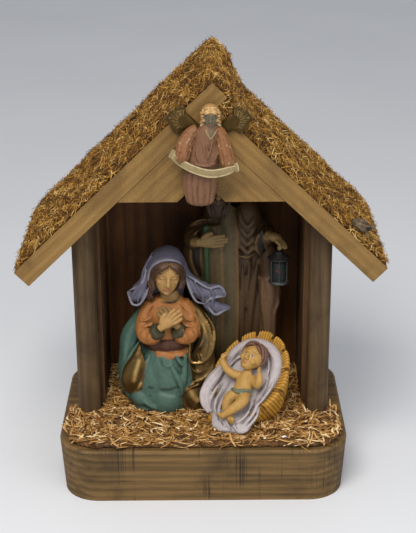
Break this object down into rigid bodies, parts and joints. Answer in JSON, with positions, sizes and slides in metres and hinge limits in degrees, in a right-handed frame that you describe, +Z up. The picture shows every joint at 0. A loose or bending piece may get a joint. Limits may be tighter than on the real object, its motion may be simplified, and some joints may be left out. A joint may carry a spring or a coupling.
{
  "type": "nativity stable ornament",
  "caption": "Wooden gabled stable on a thick rounded slab, with a fibre thatch, straw floor and painted kneeling, standing, cradled and winged figures.",
  "frame": {"origin": "middle of the slab's underside, where the ornament stands on a table", "axes": "+X to the viewer's right, +Y to the back wall, +Z up; the open front faces -Y"},
  "size_m": [0.2371, 0.144, 0.2804],
  "materials": {
    "slab_wood": "stained softwood with a dark, uneven antique stain",
    "post_wood": "dark stained round dowel",
    "wall_wood": "dark stained board, rough",
    "roof_wood": "pale stained softwood, sawn end grain",
    "rafter_wood": "pale stained softwood, flat grain",
    "thatch": "golden-brown dried moss fibre, coarse",
    "bark": "rough weathered bark",
    "straw": "loose wood-wool and straw with sparkling flecks",
    "screw_steel": "plated steel",
    "nail_steel": "plain bright steel",
    "mother_paint": "painted cast resin with a dark antique wash",
    "father_paint": "painted cast resin with a dark antique wash",
    "staff_paint": "painted green rod",
    "lantern_paint": "black painted with a dark glossy pane",
    "manger_paint": "painted cast resin, golden straw and white cloth",
    "infant_paint": "painted cast resin, skin tone",
    "angel_paint": "painted cast resin, pink gown and cream banner",
    "wing_paint": "painted cast resin, dark bronze feathers"
  },
  "bodies": {
    "root": {"base_board": "slab_wood", "left_post": "post_wood", "right_post": "post_wood", "back_wall": "wall_wood", "left_side_wall": "wall_wood", "right_side_wall": "wall_wood", "left_roof_board": "roof_wood", "right_roof_board": "roof_wood", "left_rafter": "rafter_wood", "right_rafter": "rafter_wood", "left_thatch": "thatch", "right_thatch": "thatch", "bark_chip": "bark", "straw_bed": "straw", "base_screws": "screw_steel", "roof_nails": "nail_steel", "mother_figure": "mother_paint", "father_figure": "father_paint", "staff": "staff_paint", "manger": "manger_paint", "infant_figure": "infant_paint", "angel_figure": "angel_paint", "angel_wings": "wing_paint"},
    "lantern": {"lantern": "lantern_paint"}
  },
  "joints": [
    {"name": "lantern_swing", "type": "hinge", "parent": "root", "child": "lantern", "pos_m": [0.051, 0.00204, 0.15292], "axis": [0, 1, 0], "range_deg": [-15, 30]}
  ]
}
